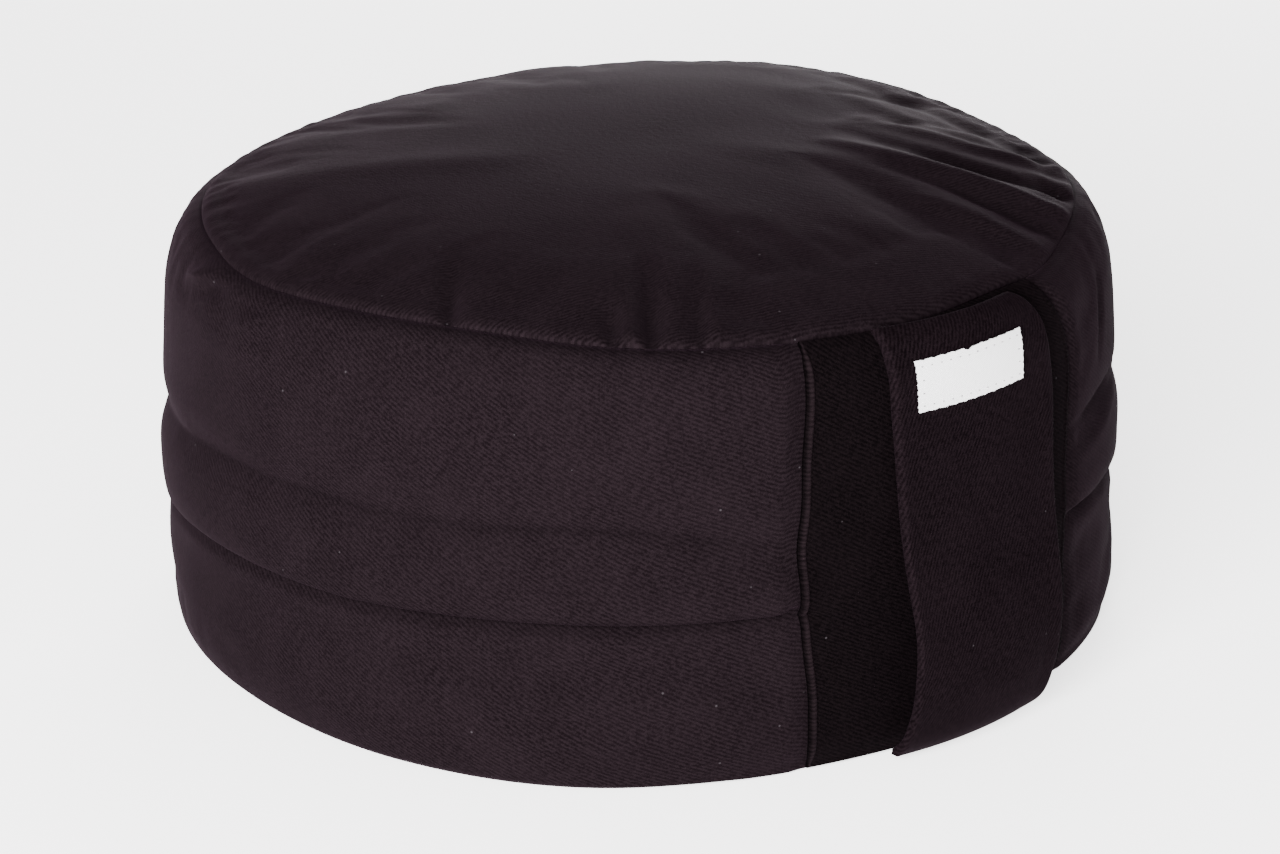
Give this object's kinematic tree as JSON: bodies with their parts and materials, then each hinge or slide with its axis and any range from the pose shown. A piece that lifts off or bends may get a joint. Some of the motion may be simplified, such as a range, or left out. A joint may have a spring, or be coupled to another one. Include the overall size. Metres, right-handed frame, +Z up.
{
  "type": "zafu meditation cushion",
  "caption": "Round, firmly filled floor cushion in dark cotton twill, with a crowned top, a folded side band, a plain insert and a stand-off carry strap with a blank label.",
  "frame": {"origin": "on the floor, under the centre of the round body", "axes": "+Z up through the crown; the carry strap and the label are on the -Y side; +X is to the right when the strap is looked at from the front"},
  "size_m": [0.3355, 0.3442, 0.1653],
  "materials": {
    "body_twill": "near-black plum cotton twill, matt, with light lint",
    "insert_twill": "the same twill, a little darker and smooth",
    "strap_twill": "doubled cotton twill with folded edges",
    "label_tape": "white woven tape, satin, blank"
  },
  "bodies": {
    "root": {"cushion": "body_twill", "side_insert": "insert_twill", "carry_strap": "strap_twill", "label": "label_tape"}
  },
  "joints": []
}
